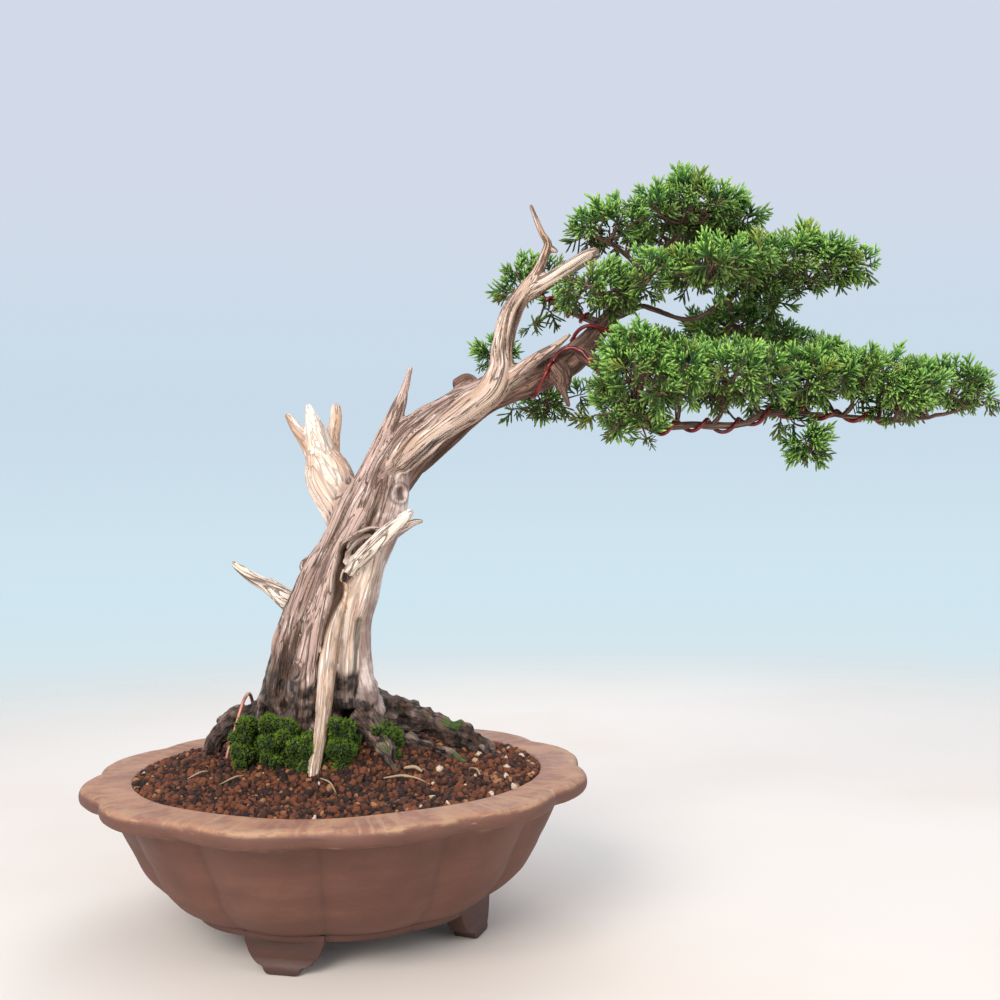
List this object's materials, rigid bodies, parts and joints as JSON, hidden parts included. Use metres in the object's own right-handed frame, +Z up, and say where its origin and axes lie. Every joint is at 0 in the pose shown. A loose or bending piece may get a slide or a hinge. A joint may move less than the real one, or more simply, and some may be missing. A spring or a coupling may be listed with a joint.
{
  "type": "bonsai tree in a pot",
  "caption": "Leaning juniper bonsai with bleached deadwood and flat foliage pads, in a round lobed unglazed clay pot on feet, filled with granular soil.",
  "frame": {"origin": "middle of the underside of the whole object's box, level with the bottoms of the pot's feet", "axes": "+X from the pot towards the tip of the leaning tree, +Y from the front to the back, +Z up"},
  "size_m": [0.598, 0.3176, 0.4903],
  "materials": {
    "fired_clay": "unglazed red-brown stoneware, matt, with pale tan streaks on the rim",
    "soil_grains": "loose fired-clay grains, red-brown, with a few pale ones",
    "bark_and_deadwood": "bleached grooved deadwood beside flaking pink-brown bark",
    "moss": "short green moss",
    "foliage": "fine scale foliage, bright at the tips",
    "training_wire": "dark red anodised wire, glossy",
    "copper_wire": "dull copper-coloured wire",
    "steel_wire": "bare grey wire",
    "plastic_mesh": "black plastic mesh"
  },
  "bodies": {
    "root": {"drain_mesh": "plastic_mesh", "foliage_apex": "foliage", "foliage_apex_right": "foliage", "foliage_back_lower": "foliage", "foliage_back_middle": "foliage", "foliage_back_upper": "foliage", "foliage_behind_right": "foliage", "foliage_beside_jin": "foliage", "foliage_centre": "foliage", "foliage_far_left": "foliage", "foliage_hanging": "foliage", "foliage_lower_centre": "foliage", "foliage_lower_left": "foliage", "foliage_lower_right": "foliage", "foliage_middle_left": "foliage", "foliage_outer": "foliage", "foliage_outer_front": "foliage", "foliage_tip": "foliage", "foliage_under_branch": "foliage", "foliage_upper_left": "foliage", "foliage_upper_right": "foliage", "mesh_clip_wire": "steel_wire", "moss_front_left": "moss", "moss_front_middle": "moss", "moss_front_right": "moss", "moss_left_root": "moss", "moss_right_root": "moss", "pot": "fired_clay", "root_anchor_wire": "copper_wire", "soil": "soil_grains", "tie_down_wire": "steel_wire", "training_wire_back": "training_wire", "training_wire_lower": "training_wire", "training_wire_upper": "training_wire", "trunk": "bark_and_deadwood"}
  },
  "joints": []
}
